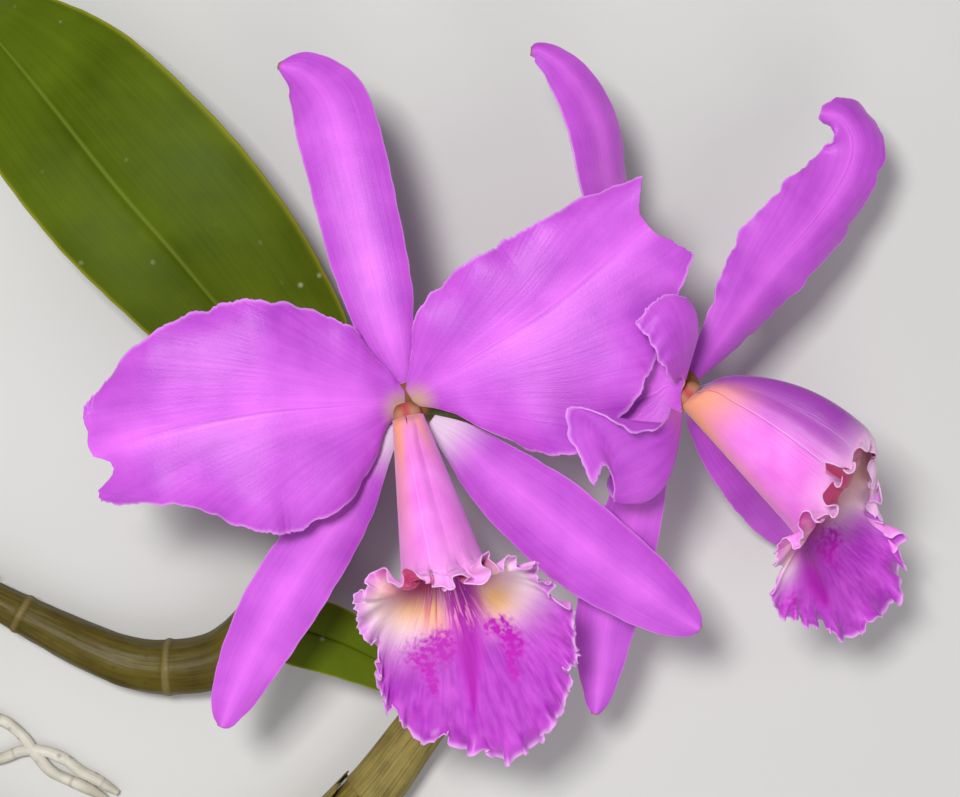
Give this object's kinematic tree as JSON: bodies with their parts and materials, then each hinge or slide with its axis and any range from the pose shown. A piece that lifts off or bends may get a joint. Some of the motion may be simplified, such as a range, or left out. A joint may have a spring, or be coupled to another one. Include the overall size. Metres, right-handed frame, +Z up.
{
  "type": "cattleya orchid",
  "caption": "Bare flowering division of a cattleya orchid lying on its back: frilled lilac blooms on a short stalk, strap leaf, cane-like pseudobulbs and rooted rhizome.",
  "frame": {"origin": "middle of the footprint, on the surface the plant lies on", "axes": "+Z up from the surface towards the faces of the blooms, +X to the right across the blooms, +Y from the lips towards the dorsal sepals"},
  "size_m": [0.3497, 0.2822, 0.1058],
  "materials": {
    "petal": "soft velvety lilac-magenta petal tissue",
    "lip": "soft magenta petal tissue, paler and yellower at the mouth",
    "column": "waxy pinkish white",
    "anther_cap": "waxy cream",
    "stem": "satin green",
    "sheath": "dry papery yellow-green",
    "leaf": "leathery satin olive green",
    "green_pseudobulb": "waxy yellow-green with dark specks",
    "old_pseudobulb": "dry streaked papery husk",
    "root": "dull grey-white spongy skin"
  },
  "bodies": {
    "root": {"bloom_1_dorsal_sepal": "petal", "bloom_1_left_sepal": "petal", "bloom_1_right_sepal": "petal", "bloom_1_left_petal": "petal", "bloom_1_right_petal": "petal", "bloom_2_dorsal_sepal": "petal", "bloom_2_near_sepal": "petal", "bloom_2_far_sepal": "petal", "bloom_2_far_petal": "petal", "bloom_2_near_petal": "petal", "bloom_1_lip": "lip", "bloom_2_lip": "lip", "bloom_1_column": "column", "bloom_2_column": "column", "bloom_1_anther_cap": "anther_cap", "bloom_2_anther_cap": "anther_cap", "flower_stalk": "stem", "stalk_sheath": "sheath", "leaf_1": "leaf", "leaf_2": "leaf", "pseudobulb_1": "green_pseudobulb", "pseudobulb_2": "old_pseudobulb", "rhizome": "root"}
  },
  "joints": []
}
